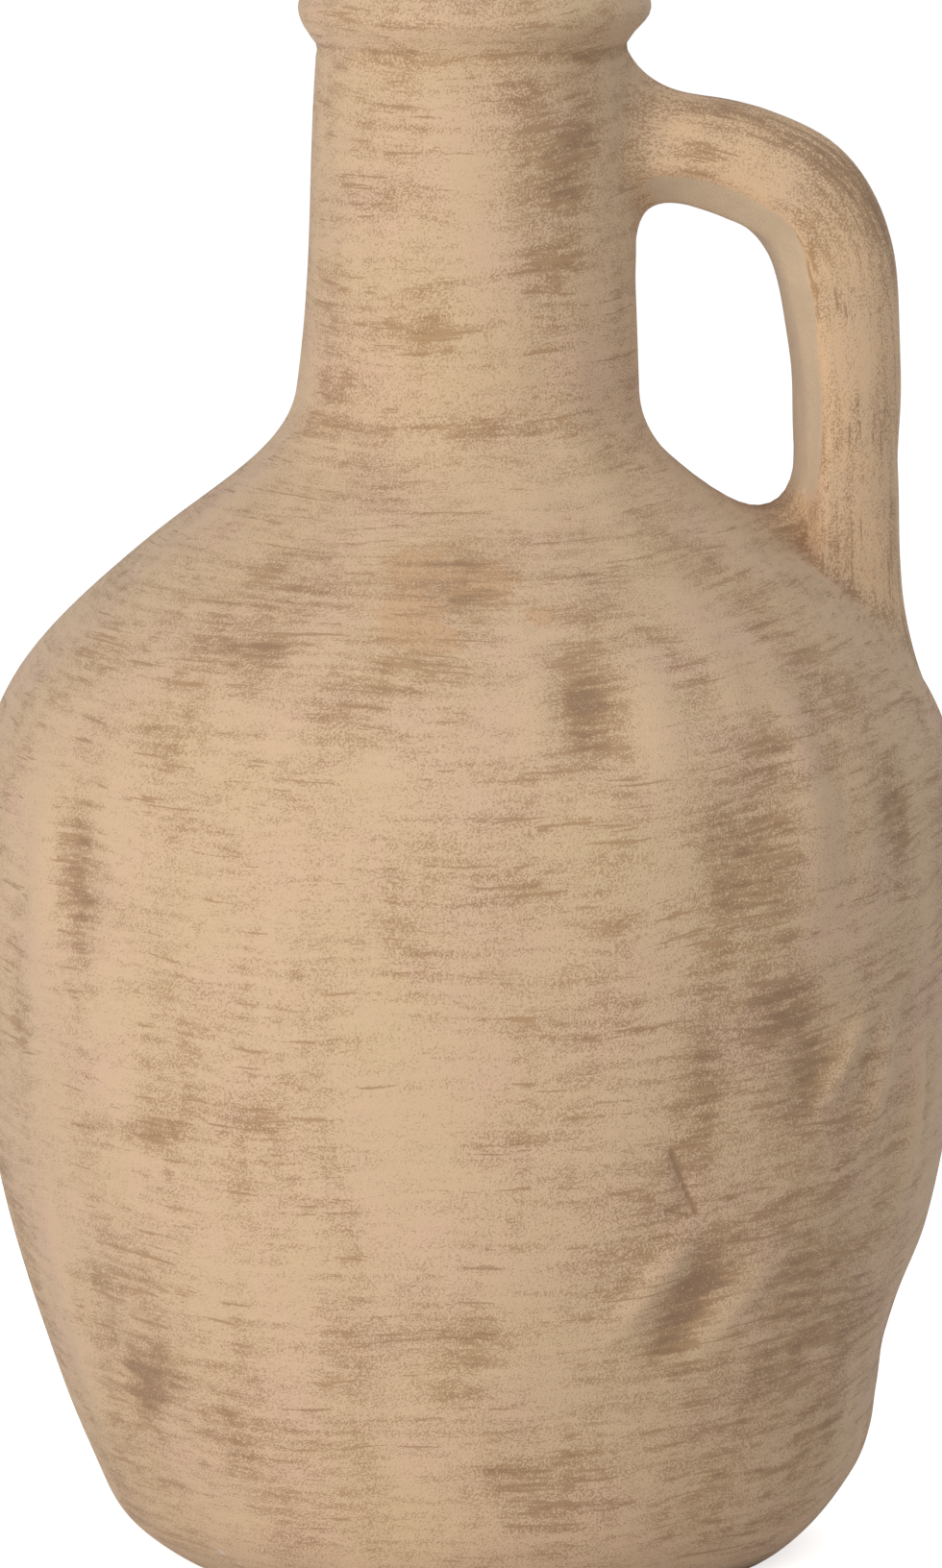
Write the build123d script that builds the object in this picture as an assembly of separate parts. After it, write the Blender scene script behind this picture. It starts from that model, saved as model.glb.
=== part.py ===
from build123d import *
import math
import os

# One-handled earthenware jug, in millimetres. +Z is up, the origin is the centre of the
# base, and the handle stands on the +X side. The jug is thrown in sections that are joined
# with bevelled seams, and each seam is backed by a coil of clay inside.

# Body outline: each radius, and its rise over the point below it. The flank and the shoulder
# lie inside the girth by their insets.
FOOT_RADIUS = 77.0
HEEL_RADIUS = 91.0
HEEL_RISE = 12.0
HIP_RADIUS = 104.0
HIP_RISE = 33.0
FLANK_INSET = 8.5
FLANK_RISE = 46.0
GIRTH_RADIUS = 126.0
GIRTH_RISE = 70.0
SHOULDER_INSET = 12.0
SHOULDER_RISE = 61.0
SLOPE_RADIUS = 74.0
SLOPE_RISE = 39.5
NECK_FOOT_RADIUS = 43.0
NECK_FOOT_RISE = 34.5
FOOT_FLARE = 60.0

# Neck, groove and rolled rim
NECK_LENGTH = 85.0
NECK_TOP_RADIUS = 39.4
MOUTH_RADIUS = 33.0
RIM_RADIUS = 44.5
RIM_SWELL = 11.0
RIM_CROWN = 8.0
LIP_DEPTH = 6.0

# Clay thickness, seams and the coils behind them
WALL = 8.0
FLOOR = 10.0
SEAM_BEVEL = 5.0
FLOOR_COIL = 7.0
GIRTH_COIL = 5.0
NECK_COIL = 3.5

# Handle: an upper run out of the neck, one bend, and a drop onto the shoulder, inside the girth
HANDLE_BELOW_GROOVE = 25.5
HANDLE_INSET = 30.0
HANDLE_BEND = 35.0
HANDLE_THICKNESS = 28.5
HANDLE_DEPTH = 36.0
HANDLE_FLAT = 16.0
HANDLE_CHAMFER = 6.5

# Clay pressed round the handle's two roots
COIL_LIP = 0.8
UPPER_FLARE = 8.0
UPPER_SIDE_FLARE = 1.0
UPPER_FLARE_LIFT = 2.5
UPPER_FLARE_LENGTH = 15.0
LOWER_FLARE = 2.5
LOWER_FLARE_LENGTH = 14.0
FLARE_ROOT = 7.0
FLARE_STEPS = 5

# Radii that follow from the girth
FLANK_RADIUS = GIRTH_RADIUS - FLANK_INSET
SHOULDER_RADIUS = GIRTH_RADIUS - SHOULDER_INSET
HANDLE_REACH = GIRTH_RADIUS - HANDLE_INSET

# Heights that follow from the rises
HEEL_HEIGHT = HEEL_RISE
HIP_HEIGHT = HEEL_HEIGHT + HIP_RISE
FLANK_HEIGHT = HIP_HEIGHT + FLANK_RISE
GIRTH_HEIGHT = FLANK_HEIGHT + GIRTH_RISE
SHOULDER_HEIGHT = GIRTH_HEIGHT + SHOULDER_RISE
SLOPE_HEIGHT = SHOULDER_HEIGHT + SLOPE_RISE
NECK_FOOT_HEIGHT = SLOPE_HEIGHT + NECK_FOOT_RISE
GROOVE_HEIGHT = NECK_FOOT_HEIGHT + NECK_LENGTH
RIM_SWELL_HEIGHT = GROOVE_HEIGHT + RIM_SWELL
TOTAL_HEIGHT = RIM_SWELL_HEIGHT + RIM_CROWN
HANDLE_HEIGHT = GROOVE_HEIGHT - HANDLE_BELOW_GROOVE

# Reach of the cutting shapes, past every outline, and stations along the hollow's curve
BEYOND = 2 * (TOTAL_HEIGHT + GIRTH_RADIUS + HANDLE_REACH)
HOLLOW_STEPS = 14
UP = (0, 1)
DOWN = (0, -1)
INWARD = (-1, 0)


def smooth_curve(points, start, end):
    """Smooth curve through points that leaves and arrives in the given directions."""
    return Spline(*points, tangents=[start, end], tangent_scalars=[1.0, 1.0])


def body_curve():
    """Outer meridian of the body, as radius and height, from the foot to the neck."""
    points = [
        (FOOT_RADIUS, 0),
        (HEEL_RADIUS, HEEL_HEIGHT),
        (HIP_RADIUS, HIP_HEIGHT),
        (FLANK_RADIUS, FLANK_HEIGHT),
        (GIRTH_RADIUS, GIRTH_HEIGHT),
        (SHOULDER_RADIUS, SHOULDER_HEIGHT),
        (SLOPE_RADIUS, SLOPE_HEIGHT),
        (NECK_FOOT_RADIUS, NECK_FOOT_HEIGHT),
    ]
    flare = math.radians(FOOT_FLARE)
    neck_lean = (NECK_TOP_RADIUS - NECK_FOOT_RADIUS, NECK_LENGTH)
    return smooth_curve(points, (math.sin(flare), math.cos(flare)), neck_lean)


def outer_profile(body):
    """Filled half section of the jug without its hollow."""
    neck_top = (NECK_TOP_RADIUS, GROOVE_HEIGHT)
    swell = (RIM_RADIUS, RIM_SWELL_HEIGHT)
    crown = ((RIM_RADIUS + MOUTH_RADIUS) / 2, TOTAL_HEIGHT)
    lip = (MOUTH_RADIUS, TOTAL_HEIGHT - LIP_DEPTH)
    edges = [
        Line((0, 0), (FOOT_RADIUS, 0)),
        body,
        Line((NECK_FOOT_RADIUS, NECK_FOOT_HEIGHT), neck_top),
        smooth_curve([neck_top, swell], UP, UP),
        smooth_curve([swell, crown], UP, INWARD),
        smooth_curve([crown, lip], INWARD, DOWN),
        Polyline(lip, (0, TOTAL_HEIGHT - LIP_DEPTH), (0, 0)),
    ]
    return make_face(edges)


def hollow_profile(body):
    """Filled half section of the hollow: one wall inside the body, then the mouth's bore."""
    points = []
    for step in range(HOLLOW_STEPS):
        place = step / HOLLOW_STEPS
        along = body.tangent_at(place)
        points.append(body.position_at(place) + Vector(-along.Y, along.X) * WALL)
    points.append(Vector(MOUTH_RADIUS, NECK_FOOT_HEIGHT))
    inner = smooth_curve(points, body.tangent_at(0), UP)
    rest = Polyline(
        points[-1],
        (MOUTH_RADIUS, BEYOND),
        (0, BEYOND),
        (0, -BEYOND),
        (points[0].X, -BEYOND),
        points[0],
    )
    above_floor = Pos(0, FLOOR) * Rectangle(BEYOND, BEYOND, align=(Align.MIN, Align.MIN))
    return make_face([inner, rest]) & above_floor


def above_line(inner, outer):
    """Everything above the line through a seam's inner and outer edges."""
    along = (Vector(*outer) - Vector(*inner)).normalized() * BEYOND
    start = Vector(*inner) - along
    end = Vector(*outer) + along
    lift = Vector(0, BEYOND)
    return make_face(Polyline(start, end, end + lift, start + lift, close=True))


def turned(profile):
    """Solid of revolution of a half section about the jug's axis."""
    return revolve(Plane.XZ * profile, Axis.Z)


def inner_edge(hollow, height):
    """Point of the hollow's wall at a height, as radius and height."""
    level = Line((0, height), (BEYOND, height)) & hollow
    return (level.bounding_box().max.X, height)


def coil_profile(hollow, center, radius):
    """Section of a coil pressed over a seam: the part of a disc inside the hollow."""
    return (Pos(*center) * Circle(radius)) & hollow


def handle_section(taller=0.0, deeper=0.0, stretch=1.0):
    """Cross section of the handle, +X to its outer side: round, with a chamfered flat inside."""
    half_thick = (HANDLE_THICKNESS / 2 + taller) * stretch
    half_deep = HANDLE_DEPTH / 2 + deeper
    half_flat = HANDLE_FLAT / 2 + deeper
    crease = HANDLE_CHAMFER * stretch - half_thick
    edges = [
        EllipticalCenterArc((crease, 0), half_thick - crease, half_deep, -90, arc_size=180),
        Line((crease, half_deep), (-half_thick, half_flat)),
        Line((-half_thick, half_flat), (-half_thick, -half_flat)),
        Line((-half_thick, -half_flat), (crease, -half_deep)),
    ]
    return make_face(edges)


def handle_bar(jug):
    """Handle swept along its run, bend and drop, with both ends shaped to the jug."""
    start = Vector(0, 0, HANDLE_HEIGHT)
    bend_start = Vector(HANDLE_REACH - HANDLE_BEND, 0, HANDLE_HEIGHT)
    bend_end = Vector(HANDLE_REACH, 0, HANDLE_HEIGHT - HANDLE_BEND)
    end = Vector(HANDLE_REACH, 0, (GIRTH_HEIGHT + SHOULDER_HEIGHT) / 2)
    bend_center = Vector(bend_start.X, 0, bend_end.Z)
    halfway = Vector(math.sin(math.pi / 4), 0, math.cos(math.pi / 4)) * HANDLE_BEND
    bend = ThreePointArc(bend_start, bend_center + halfway, bend_end)
    path = Wire([Line(start, bend_start), bend, Line(bend_end, end)])
    across = Plane(origin=start, x_dir=(0, 0, 1), z_dir=(1, 0, 0))
    return sweep(across * handle_section(), path=path) - jug


def flare_stations(length):
    """Distances from the wall, from inside it to the flare's end, and the flare's share there."""
    stations = []
    for step in range(FLARE_STEPS + 1):
        out = (FLARE_ROOT + length) * step / FLARE_STEPS - FLARE_ROOT
        stations.append((out, (1 - out / length) ** 2))
    return stations


def upper_handle_coil(jug, bar):
    """Clay round the handle's upper root, flaring onto the neck and up to the groove."""
    up_neck = (HANDLE_HEIGHT - NECK_FOOT_HEIGHT) / NECK_LENGTH
    neck_radius = NECK_FOOT_RADIUS + (NECK_TOP_RADIUS - NECK_FOOT_RADIUS) * up_neck
    sections = []
    for out, share in flare_stations(UPPER_FLARE_LENGTH):
        center = (neck_radius + out, 0, HANDLE_HEIGHT + UPPER_FLARE_LIFT * share)
        across = Plane(origin=center, x_dir=(0, 0, 1), z_dir=(1, 0, 0))
        taller = COIL_LIP + UPPER_FLARE * share
        deeper = COIL_LIP + UPPER_SIDE_FLARE * share
        sections.append(across * handle_section(taller, deeper))
    return loft(sections) - bar - jug


def lower_handle_coil(jug, bar, body):
    """Clay round the handle's lower root, laid along the shoulder and flaring to the finger side."""
    crossings = body.find_intersection_points(Axis((HANDLE_REACH, 0, 0), (0, 1, 0)))
    root = Vector(HANDLE_REACH, 0, max(point.Y for point in crossings))
    tilt = math.atan2(SLOPE_RISE, SHOULDER_RADIUS - SLOPE_RADIUS)
    down_slope = Vector(math.cos(tilt), 0, -math.sin(tilt))
    stretch = 1 / math.cos(tilt)
    sections = []
    for out, share in flare_stations(LOWER_FLARE_LENGTH):
        flare = LOWER_FLARE * share
        center = root + Vector(0, 0, out) - down_slope * flare * stretch
        across = Plane(origin=center, x_dir=down_slope, z_dir=(math.sin(tilt), 0, math.cos(tilt)))
        sections.append(across * handle_section(COIL_LIP + flare, COIL_LIP + flare, stretch))
    return loft(sections) - bar - jug


def main():
    body = body_curve()
    outer = outer_profile(body)
    hollow = hollow_profile(body)
    clay = outer - hollow
    jug = turned(outer)

    floor_edge = inner_edge(hollow, FLOOR)
    girth_edge = inner_edge(hollow, GIRTH_HEIGHT + SEAM_BEVEL)
    neck_edge = inner_edge(hollow, NECK_FOOT_HEIGHT - SEAM_BEVEL)
    rim_edge = inner_edge(hollow, GROOVE_HEIGHT + SEAM_BEVEL)
    over_floor = above_line(floor_edge, (floor_edge[0] + WALL, FLOOR - WALL))
    over_girth = above_line(girth_edge, (GIRTH_RADIUS, GIRTH_HEIGHT))
    over_neck = above_line(neck_edge, (NECK_FOOT_RADIUS, NECK_FOOT_HEIGHT))
    over_rim = above_line(rim_edge, (NECK_TOP_RADIUS, GROOVE_HEIGHT))

    bar = handle_bar(jug)
    nodes = {
        "base_disc": turned(clay - over_floor),
        "lower_wall": turned((clay & over_floor) - over_girth),
        "shoulder_wall": turned((clay & over_girth) - over_neck),
        "neck_tube": turned((clay & over_neck) - over_rim),
        "rim_roll": turned(clay & over_rim),
        "floor_seam_coil": turned(coil_profile(hollow, floor_edge, FLOOR_COIL)),
        "girth_seam_coil": turned(coil_profile(hollow, girth_edge, GIRTH_COIL)),
        "neck_seam_coil": turned(coil_profile(hollow, neck_edge, NECK_COIL)),
        "handle_bar": bar,
        "upper_handle_coil": upper_handle_coil(jug, bar),
        "lower_handle_coil": lower_handle_coil(jug, bar, body),
    }
    os.makedirs("parts", exist_ok=True)
    for name, piece in nodes.items():
        export_step(piece, f"parts/{name}.step")


if __name__ == "__main__":
    main()
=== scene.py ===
"""Looks of a one-handled earthenware jug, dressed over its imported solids.

The wall is turned from one smooth outline and pressed by hand afterwards. The handle is a bar whose
section changes along its bend, and the clay round its roots runs smoothly into the wall. A pale slip
is brushed dry over a brown coat, so the strokes follow the wall's rings and the handle's length.
"""

import logging
import math
import random
from dataclasses import dataclass
from enum import Enum

import bmesh
import bpy
import numpy as np
from mathutils import Matrix, Vector


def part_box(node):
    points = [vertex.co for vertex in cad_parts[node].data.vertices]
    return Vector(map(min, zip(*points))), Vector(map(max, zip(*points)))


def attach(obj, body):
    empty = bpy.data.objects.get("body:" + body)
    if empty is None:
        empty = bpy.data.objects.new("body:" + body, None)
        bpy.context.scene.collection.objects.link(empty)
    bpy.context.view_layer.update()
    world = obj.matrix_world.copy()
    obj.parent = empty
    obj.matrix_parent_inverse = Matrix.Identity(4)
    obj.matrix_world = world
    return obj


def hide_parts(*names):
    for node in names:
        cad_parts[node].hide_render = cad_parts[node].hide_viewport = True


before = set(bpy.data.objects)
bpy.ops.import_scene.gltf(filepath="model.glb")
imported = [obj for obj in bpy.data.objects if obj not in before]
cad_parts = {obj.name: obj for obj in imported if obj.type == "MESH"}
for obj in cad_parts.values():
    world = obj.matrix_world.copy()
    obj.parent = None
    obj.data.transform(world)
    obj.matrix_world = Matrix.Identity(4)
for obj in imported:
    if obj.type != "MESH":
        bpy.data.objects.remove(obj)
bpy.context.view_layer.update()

log = logging.getLogger("jug")

Pair = tuple[float, float]
Pairs = tuple[Pair, ...]
Triple = tuple[float, float, float]
Colour = tuple[float, float, float, float]
Socket = bpy.types.NodeSocket
Feeds = dict[int | str, object]
Owner = bpy.types.Material | bpy.types.World

MM = 0.001
BODY = "root"
IMAGE_SIZE = (980, 1632)
WHITE: Colour = (1.0, 1.0, 1.0, 1.0)
UPRIGHT: Pair = (0.0, 1.0)
NOISE_MIDDLE = 0.5

# Azimuths are degrees about +Z from +X, where the handle stands. The photo looks from this one.
FRONT = -99.5
TURN_STEPS = 448
EIGHTH = math.pi / 4
SAME_POINT = 0.001
SHARP_EDGE = math.radians(38)


class Root(Enum):
    """The two places where the handle meets the wall, each with the way from it along the path."""

    UPPER = 1
    LOWER = -1


def unit(rows: np.ndarray) -> np.ndarray:
    """Directions of length one, from rows of directions."""
    return rows / np.linalg.norm(rows, axis=-1, keepdims=True)


def lengths_along(points: np.ndarray) -> np.ndarray:
    """Length along a line from its first point to each of its points."""
    return np.concatenate([[0.0], np.cumsum(np.linalg.norm(np.diff(points, axis=0), axis=1))])


def turn_of(points: np.ndarray) -> np.ndarray:
    """Turns of points about the jug's axis, in radians."""
    return np.arctan2(points[..., 1], points[..., 0])


def wall_place(azimuth: float, radius: float, height: float) -> Vector:
    """A place in metres, from degrees about the axis and millimetres away from it and up."""
    turn = math.radians(azimuth)
    return Vector((radius * math.cos(turn), radius * math.sin(turn), height)) * MM


@dataclass(frozen=True)
class SmoothPath:
    """Smooth curve through a few knots, which starts and ends in given directions."""

    knots: Pairs
    start: Pair
    end: Pair

    def sample(self, step: float) -> np.ndarray:
        """Points along the curve.

        Args:
            step: Distance between points, in the knots' unit.

        Returns:
            One row of two coordinates for each point.
        """
        knots = np.array(self.knots, float)
        gaps = np.linalg.norm(np.diff(knots, axis=0), axis=1)
        places = lengths_along(knots)
        slopes = self.slopes(knots, gaps)
        at = np.linspace(0.0, places[-1], int(places[-1] / step) + 2)
        span = np.clip(np.searchsorted(places, at, side="right") - 1, 0, len(gaps) - 1)
        gap = gaps[span][:, None]
        share = ((at - places[span]) / gaps[span])[:, None]
        rest = 1.0 - share
        near = knots[span] * (1 + 2 * share) * rest**2 + slopes[span] * gap * share * rest**2
        far = knots[span + 1] * (1 + 2 * rest) * share**2 - slopes[span + 1] * gap * rest * share**2
        return near + far

    def slopes(self, knots: np.ndarray, gaps: np.ndarray) -> np.ndarray:
        """Directions at the knots that keep the curvature continuous.

        Args:
            knots: The knots, one a row.
            gaps: Distances between neighbouring knots.

        Returns:
            One direction for each knot.
        """
        rises = np.diff(knots, axis=0) / gaps[:, None]
        matrix = np.eye(len(knots))
        right = np.zeros_like(knots)
        right[0] = np.array(self.start) / np.linalg.norm(self.start)
        right[-1] = np.array(self.end) / np.linalg.norm(self.end)
        for i in range(1, len(knots) - 1):
            matrix[i, i - 1] = gaps[i]
            matrix[i, i] = 2 * (gaps[i - 1] + gaps[i])
            matrix[i, i + 1] = gaps[i - 1]
            right[i] = 3 * (gaps[i] * rises[i - 1] + gaps[i - 1] * rises[i])
        return np.linalg.solve(matrix, right)


@dataclass(frozen=True)
class Press:
    """A place where a hand pressed or drew the clay, and how that changes the slip on it.

    Sizes are millimetres along the wall, depth is outward, lean is in degrees from upright towards
    a growing azimuth, and cover is how much more pale slip stays there.
    """

    azimuth: float
    height: float
    wide: float
    tall: float
    depth: float
    cover: float
    lean: float = 0.0

    def weight(self, azimuth: np.ndarray, height: np.ndarray, radius: np.ndarray) -> np.ndarray:
        """Strength of the press at points of the wall.

        Args:
            azimuth: Degrees.
            height: Millimetres.
            radius: Millimetres.

        Returns:
            Values from 0 to 1.
        """
        turn = (azimuth - self.azimuth + 180.0) % 360.0 - 180.0
        over = np.radians(turn) * radius
        up = height - self.height
        lean = math.radians(self.lean)
        across = over * math.cos(lean) - up * math.sin(lean)
        along = over * math.sin(lean) + up * math.cos(lean)
        return np.exp(-((across / self.wide) ** 2) - np.abs(along / self.tall) ** 3)


# Presses that the photo shows, from the rim down. Ridges stand out and keep their slip.
FRONT_PRESSES = (
    # The groove and the neck.
    # Groove ring: a real dent, and its thinned slip is painted shade under the rim's roll.
    Press(-99, 382.6, 400.0, 1.5, -0.70, -0.26),
    Press(-189, 385.5, 40.0, 3.5, 1.3, 0.0),
    Press(-99, 330, 6.5, 34, 0.4, 0.30),
    Press(-60, 356, 7.0, 17, -0.5, -0.27, 10),
    Press(-131, 347, 16.0, 3.0, 0.0, -0.22),
    Press(-126, 316, 14.0, 5.5, 0.0, -0.24),
    Press(-70, 332, 8.0, 10, -0.2, -0.16, 20),
    Press(-135, 290, 15.0, 2.6, -0.2, -0.20),
    Press(-88, 291, 14.0, 2.8, -0.2, -0.24),
    # The shoulder.
    Press(-97, 255, 13.0, 8.0, -0.3, -0.30),
    Press(-107, 238, 12.0, 7.0, -0.2, -0.30),
    Press(-123, 231, 7.0, 15, 0.9, 0.26),
    Press(-131, 238, 13.0, 7.0, -0.4, -0.30),
    Press(-139, 222, 13.0, 8.0, -0.3, -0.14),
    Press(-91, 233, 6.0, 13, 0.8, 0.28),
    Press(-84, 228, 9.5, 14, -1.2, -0.40),
    Press(-75, 229, 6.0, 15, 0.8, 0.28),
    Press(-63, 236, 7.0, 12, 0.6, 0.20),
    Press(-56, 205, 6.5, 26, 1.5, 0.28, 2),
    Press(-47, 190, 5.5, 20, 1.0, 0.16),
    Press(-40, 192, 7.0, 16, -1.1, -0.34),
    Press(-66, 197, 10.0, 16, -1.3, -0.30, 16),
    Press(-62, 219, 11.0, 9, -0.4, -0.20),
    Press(-92, 187, 9.0, 4.5, 0.0, -0.20),
    Press(-113, 197, 10.0, 16, 0.5, 0.14),
    # The belly.
    Press(-158, 180, 6.5, 26, 1.2, 0.30),
    Press(-150.5, 184, 11.0, 18, -1.2, -0.40, -12),
    Press(-166, 150, 6.0, 24, -0.6, -0.20),
    Press(-61, 153, 11.0, 8, -0.6, -0.30),
    Press(-57, 136, 9.0, 15, -1.4, -0.34, 24),
    Press(-51, 139, 3.6, 13, 2.0, 0.24, 34),
    Press(-44, 132, 4.2, 16, 2.4, 0.20, 12),
    Press(-70, 136, 12.0, 14, -0.4, -0.16),
    Press(-34, 117, 4.6, 18, 2.5, 0.30),
    Press(-97, 123, 10.0, 5.0, -0.2, -0.24),
    Press(-142, 122, 22.0, 4.0, 0.0, -0.20, -8),
    Press(-73.8, 112.4, 1.8, 10, -1.1, -0.05, -26),
    Press(-74.4, 105.4, 3.0, 2.2, -0.8, -0.05),
    # Below the belly.
    Press(-71, 79, 7.0, 15, -1.4, -0.46, 24),
    Press(-76.5, 86, 4.4, 15, 1.8, 0.34, 36),
    Press(-63, 81, 5.0, 13, 1.0, 0.26, 35),
    Press(-97, 74, 13.0, 8.0, -0.3, -0.26),
    Press(-149, 54, 13.0, 8.0, -0.9, -0.46, -30),
    Press(-155, 72, 7.0, 12, -0.7, -0.30),
    Press(-164, 66, 5.0, 30, 0.8, 0.20),
    Press(-96, 36, 16.0, 6.0, 0.0, -0.20),
    Press(-120, 46, 12.0, 5.0, 0.0, -0.18),
    # Broad patches with more or less slip.
    Press(-128, 160, 26.0, 26, 0.3, 0.10),
    Press(-112, 130, 20.0, 24, 0.3, 0.12),
    Press(-54, 150, 42.0, 110, 0.0, -0.14),
    Press(-55, 55, 40.0, 42, 0.0, -0.22),
    Press(-144, 246, 32.0, 15, 0.0, -0.17),
    Press(-146, 42, 30.0, 26, 0.0, -0.10),
    # The outline on the right.
    Press(-4, 271, 18.0, 8.0, 0.8, 0.0),
    Press(-10, 336, 14.0, 9.0, 0.6, 0.0),
    Press(-9, 61, 26.0, 15, -2.4, -0.05),
    Press(-12, 28, 24.0, 9.0, 0.9, 0.05),
)


@dataclass(frozen=True)
class HiddenPresses:
    """Presses of the side that the photo doesn't show, drawn from a fixed seed within these ranges."""

    count: int = 34
    seed: int = 11
    azimuth: Pair = (4.0, 158.0)
    height: Pair = (40.0, 245.0)
    wide: Pair = (4.5, 9.0)
    tall: Pair = (9.0, 28.0)
    depth: Pair = (0.6, 1.2)
    cover: Pair = (0.16, 0.4)
    lean: Pair = (-20.0, 35.0)

    def drawn(self) -> list[Press]:
        """Draws ridges and hollows in turn.

        Returns:
            The presses.
        """
        draw = random.Random(self.seed)
        made = []
        for number in range(self.count):
            outward = 1 if number % 2 == 0 else -1
            made.append(
                Press(
                    azimuth=draw.uniform(*self.azimuth),
                    height=draw.uniform(*self.height),
                    wide=draw.uniform(*self.wide),
                    tall=draw.uniform(*self.tall),
                    depth=draw.uniform(*self.depth) * outward,
                    cover=draw.uniform(*self.cover) * outward,
                    lean=draw.uniform(*self.lean),
                )
            )
        return made


@dataclass
class WallForm:
    """Form of the jug's outer face: a turned outline, leant a little and pressed by hand.

    The radii and heights are millimetres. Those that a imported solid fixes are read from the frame.
    """

    foot_radius: float = 77.0
    foot_flare: float = 60.0
    heel: Pair = (91.0, 12.0)
    hip: Pair = (104.0, 45.0)
    flank: Pair = (117.5, 91.0)
    shoulder: Pair = (114.0, 222.0)
    slope: Pair = (74.0, 261.5)
    neck_top_radius: float = 39.4
    mouth_radius: float = 33.0
    lip_depth: float = 6.0
    groove_lift: float = 2.2
    rim_swell: float = 8.8
    wall: float = 8.0
    step: float = 1.7
    inner_step: float = 6.0
    lean_to: float = FRONT - 90.0
    lean: Pairs = (
        (-1.6, 0.0),
        (-0.9, 8.0),
        (-1.3, 20.0),
        (-0.4, 37.0),
        (0.1, 52.0),
        (0.1, 95.0),
        (0.7, 190.0),
        (1.2, 240.0),
        (2.2, 270.0),
        (1.2, 290.0),
        (0.0, 320.0),
        (-0.3, 380.0),
        (-0.9, 400.0),
    )
    swell: Pairs = (
        (0.0, 0.0),
        (-0.7, 25.0),
        (0.0, 45.0),
        (-0.9, 115.0),
        (-0.5, 180.0),
        (0.6, 224.0),
        (-1.2, 252.0),
        (1.3, 271.0),
        (0.5, 288.0),
        (-0.2, 305.0),
        (0.0, 370.0),
        (0.1, 400.0),
    )
    waves: tuple[tuple[int, float, float, float], ...] = (
        (2, 0.011, 0.5, 0.55),
        (3, -0.017, 2.1, 0.45),
        (5, 0.023, 4.0, 0.35),
        (8, 0.013, 1.2, 0.22),
        (11, -0.031, 3.3, 0.18),
        (17, 0.009, 5.1, 0.14),
    )
    line_step: float = 2.0
    fine_parts: int = 4
    calm_reach: float = 90.0
    calm_least: float = 0.35
    hidden: HiddenPresses = HiddenPresses()

    def __post_init__(self) -> None:
        """Reads the seams from the frame and works out the outline and the presses."""
        shoulder_low, shoulder_high = self.node_box("shoulder_wall")
        rim_low, rim_high = self.node_box("rim_roll")
        self.girth = (shoulder_high[0], shoulder_low[2])
        self.neck_foot = (self.node_box("neck_tube")[1][0], shoulder_high[2])
        self.groove = rim_low[2] + self.groove_lift
        self.rim = (rim_high[0], self.groove + self.rim_swell)
        self.top = rim_high[2]
        self.floor = self.node_box("base_disc")[1][2]
        self.base_seam = self.node_box("lower_wall")[0][2]
        self.bevel = self.node_box("lower_wall")[1][2] - self.girth[1]
        self.outer = self.outer_face()
        self.reach = lengths_along(self.outer)
        self.presses = [*FRONT_PRESSES, *self.hidden.drawn()]
        self.lean_line = SmoothPath(self.lean, UPRIGHT, UPRIGHT).sample(self.line_step)
        self.swell_line = SmoothPath(self.swell, UPRIGHT, UPRIGHT).sample(self.line_step)

    @staticmethod
    def node_box(node: str) -> tuple[np.ndarray, np.ndarray]:
        """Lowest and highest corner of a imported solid, in millimetres."""
        low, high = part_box(node)
        return np.array(low) / MM, np.array(high) / MM

    def outer_face(self) -> np.ndarray:
        """Works out the outer face from the foot's edge to the rim's swell.

        Returns:
            Its meridian, as radii and heights.
        """
        flare = math.radians(self.foot_flare)
        neck_top = (self.neck_top_radius, self.groove)
        along_neck = (self.neck_top_radius - self.neck_foot[0], self.groove - self.neck_foot[1])
        knots = (
            (self.foot_radius, 0.0),
            self.heel,
            self.hip,
            self.flank,
            self.girth,
            self.shoulder,
            self.slope,
            self.neck_foot,
        )
        fine = self.step / self.fine_parts
        body = SmoothPath(knots, (math.sin(flare), math.cos(flare)), along_neck).sample(fine)
        neck = SmoothPath((self.neck_foot, neck_top), along_neck, along_neck).sample(fine)
        rim = SmoothPath((neck_top, self.rim), UPRIGHT, UPRIGHT).sample(fine)
        return np.vstack([body, neck[1:], rim[1:]])

    def plain_radius(self, height: np.ndarray) -> np.ndarray:
        """Radius of the turned outline at a height, before any pressing."""
        return np.interp(height, self.outer[:, 1], self.outer[:, 0])

    def reach_at(self, height: np.ndarray) -> np.ndarray:
        """Length along the meridian from the foot's edge up to a height."""
        return np.interp(height, self.outer[:, 1], self.reach)

    def pressed(self, azimuth: np.ndarray, height: np.ndarray) -> np.ndarray:
        """How far the hand-formed wall stands outside the turned outline.

        Args:
            azimuth: Degrees.
            height: Millimetres.

        Returns:
            Millimetres, outward.
        """
        turn = np.radians(azimuth)
        radius = self.plain_radius(height)
        calm = np.clip((self.groove - height) / self.calm_reach, self.calm_least, 1.0)
        out = np.zeros_like(turn)
        for lobes, pitch, phase, depth in self.waves:
            out += depth * np.sin(lobes * turn + pitch * height + phase)
        out *= calm
        for press in self.presses:
            out += press.depth * press.weight(azimuth, height, radius)
        lean = np.interp(height, self.lean_line[:, 1], self.lean_line[:, 0])
        swell = np.interp(height, self.swell_line[:, 1], self.swell_line[:, 0])
        return out + swell + lean * np.cos(turn - math.radians(self.lean_to))

    def cover(self, azimuth: np.ndarray, height: np.ndarray) -> np.ndarray:
        """How much more or less pale slip than usual stays at points of the wall.

        Args:
            azimuth: Degrees.
            height: Millimetres.

        Returns:
            Shifts of the slip's threshold.
        """
        radius = self.plain_radius(height)
        shift = np.zeros_like(radius)
        for press in self.presses:
            shift += press.cover * press.weight(azimuth, height, radius)
        return shift

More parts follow.
